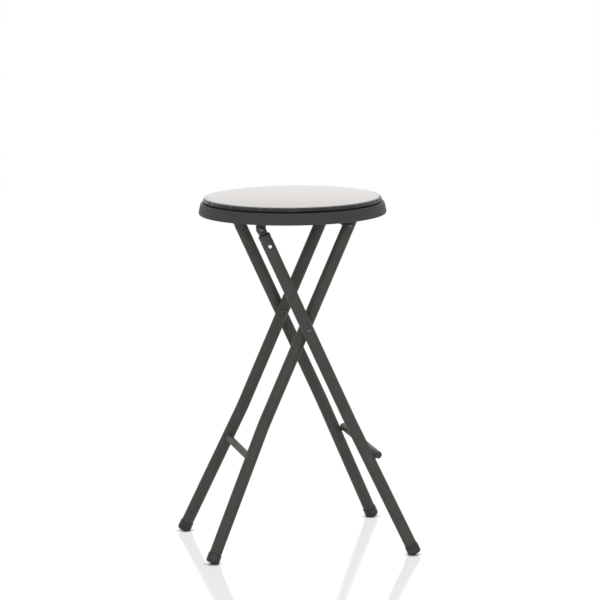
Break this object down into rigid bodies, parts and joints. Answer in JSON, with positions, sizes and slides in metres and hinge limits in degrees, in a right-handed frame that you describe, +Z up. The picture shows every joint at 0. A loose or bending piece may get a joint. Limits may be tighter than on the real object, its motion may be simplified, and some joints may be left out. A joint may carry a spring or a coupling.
{
  "type": "folding bar stool",
  "caption": "Folding bar stool: crossed tubular steel legs with a foot rest under a round padded seat that flips up so the frames fold flat.",
  "frame": {"origin": "on the floor, at the middle of the stool, straight below the scissor pivot", "axes": "+Z up; +X to the side where the foot rest is, the outer legs lean up towards -X; Y runs across the stool through both scissor pivots"},
  "size_m": [0.3544, 0.3144, 0.5904],
  "materials": {
    "painted_steel": "satin black-brown enamel on steel tube",
    "foot_cap": "glossy black moulded cap with upright ribs",
    "black_plastic": "fine matt moulding",
    "aluminium": "bright blind rivet",
    "pan_plastic": "fine grained moulding",
    "seat_vinyl": "smooth semi-gloss vinyl, dark round the rolled edge",
    "foam": "open foam",
    "plywood": "plain plywood",
    "black_steel": "blackened steel, smooth",
    "zinc_steel": "zinc plated"
  },
  "bodies": {
    "outer_frame": {"outer_leg_near": "painted_steel", "hinge_plug_near": "black_plastic", "plug_rivet_near": "aluminium", "hinge_rivet_near": "black_steel", "pivot_rivet_near": "black_steel", "pivot_washer_near": "black_plastic", "outer_foot_near": "foot_cap", "outer_leg_far": "painted_steel", "hinge_plug_far": "black_plastic", "plug_rivet_far": "aluminium", "hinge_rivet_far": "black_steel", "pivot_rivet_far": "black_steel", "pivot_washer_far": "black_plastic", "outer_foot_far": "foot_cap", "foot_rest_bar": "painted_steel", "foot_rest_plug_near": "black_plastic", "foot_rest_plug_far": "black_plastic"},
    "inner_frame": {"inner_leg_near": "painted_steel", "inner_foot_near": "foot_cap", "inner_leg_far": "painted_steel", "inner_foot_far": "foot_cap", "inner_stretcher": "painted_steel", "top_cross_rod": "black_steel", "top_rod_sleeve": "black_plastic"},
    "seat": {"seat_pan": "pan_plastic", "seat_board": "plywood", "seat_foam": "foam", "seat_cover": "seat_vinyl", "hinge_bracket_near": "black_steel", "rod_hook_near": "black_plastic", "hinge_bracket_far": "black_steel", "rod_hook_far": "black_plastic", "bracket_screw_near_left": "zinc_steel", "bracket_screw_near_right": "zinc_steel", "bracket_screw_far_left": "zinc_steel", "bracket_screw_far_right": "zinc_steel", "hook_screw_near_left": "zinc_steel", "hook_screw_near_right": "zinc_steel", "hook_screw_far_left": "zinc_steel", "hook_screw_far_right": "zinc_steel", "pan_screw_1": "zinc_steel", "pan_screw_2": "zinc_steel", "pan_screw_3": "zinc_steel", "pan_screw_4": "zinc_steel"}
  },
  "joints": [
    {"name": "seat_flip", "type": "hinge", "parent": "outer_frame", "child": "seat", "pos_m": [-0.07543, 0, 0.54383], "axis": [0, -1, 0], "range_deg": [0, 114]},
    {"name": "leg_fold", "type": "hinge", "parent": "outer_frame", "child": "inner_frame", "pos_m": [0, 0, 0.376], "axis": [0, -1, 0], "range_deg": [0, 47]}
  ],
  "couplings": [
    {"joint": "leg_fold", "follows": "seat_flip", "ratio": 0.412}
  ]
}
